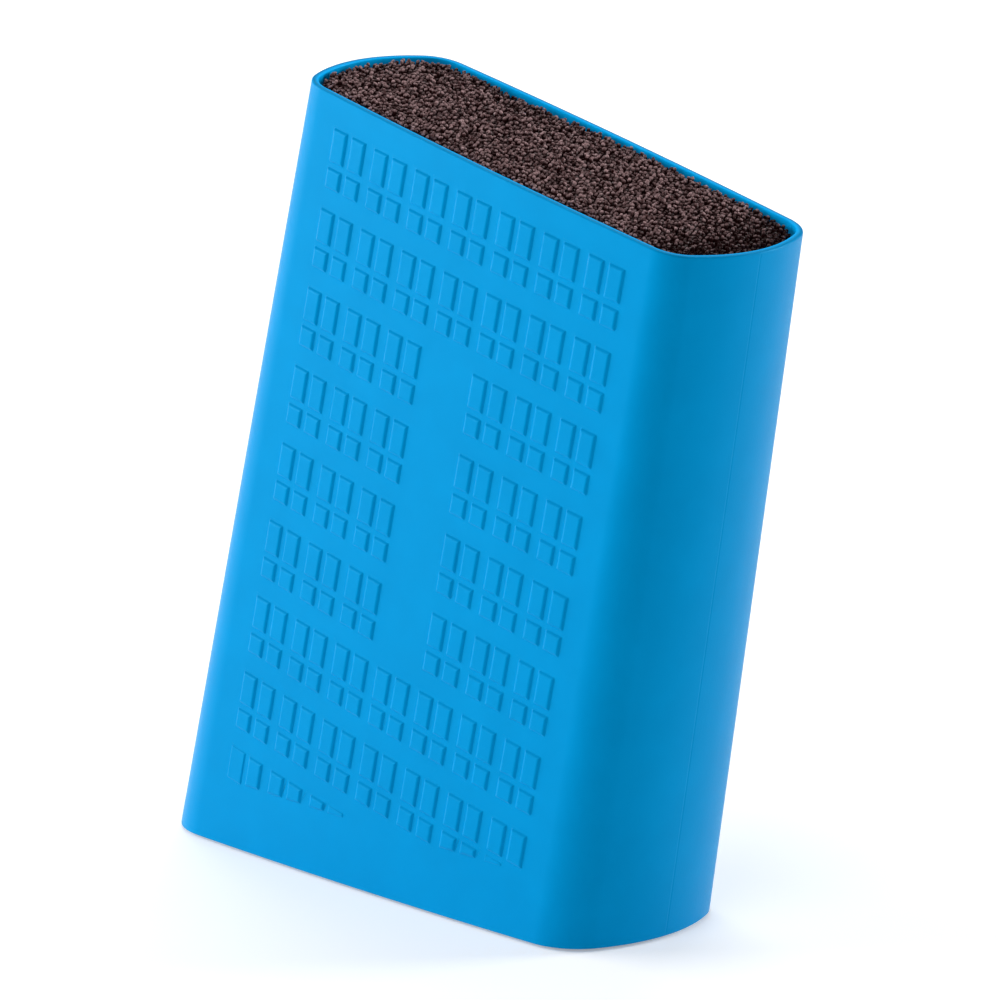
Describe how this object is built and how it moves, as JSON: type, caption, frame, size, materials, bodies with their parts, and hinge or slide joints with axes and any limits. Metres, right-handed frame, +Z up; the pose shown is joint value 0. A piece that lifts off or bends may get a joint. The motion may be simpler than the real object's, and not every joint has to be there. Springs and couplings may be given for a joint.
{
  "type": "universal knife block",
  "caption": "Leaning universal knife block: a flared plastic sleeve round a lift-out insert of flexible rods that hold blades of any shape.",
  "frame": {"origin": "bottom centre of the block's box, on the plane that its feet stand on", "axes": "+Z up; +X across the width, the way the block leans; -Y is the front face"},
  "size_m": [0.2146, 0.0694, 0.2372],
  "materials": {
    "azure_soft_touch": "satin soft-touch moulded plastic, fine grain",
    "black_plastic": "matt moulded plastic",
    "dark_rods": "semi-matt extruded plastic rods, brown-black",
    "grey_rubber": "matt rubber"
  },
  "bodies": {
    "block": {"sleeve": "azure_soft_touch", "base_plate": "black_plastic", "foot_front_left": "grey_rubber", "foot_front_right": "grey_rubber", "foot_back_left": "grey_rubber", "foot_back_right": "grey_rubber"},
    "insert": {"insert_tray": "black_plastic", "rod_root_plate": "dark_rods", "rod_bank_1": "dark_rods", "rod_bank_2": "dark_rods", "rod_bank_3": "dark_rods", "rod_bank_4": "dark_rods", "rod_bank_5": "dark_rods", "rod_bank_6": "dark_rods"}
  },
  "joints": [
    {"name": "insert_lift", "type": "slide", "parent": "block", "child": "insert", "axis": [0.1857, 0, 0.9826], "range_m": [0, 0.23]}
  ]
}
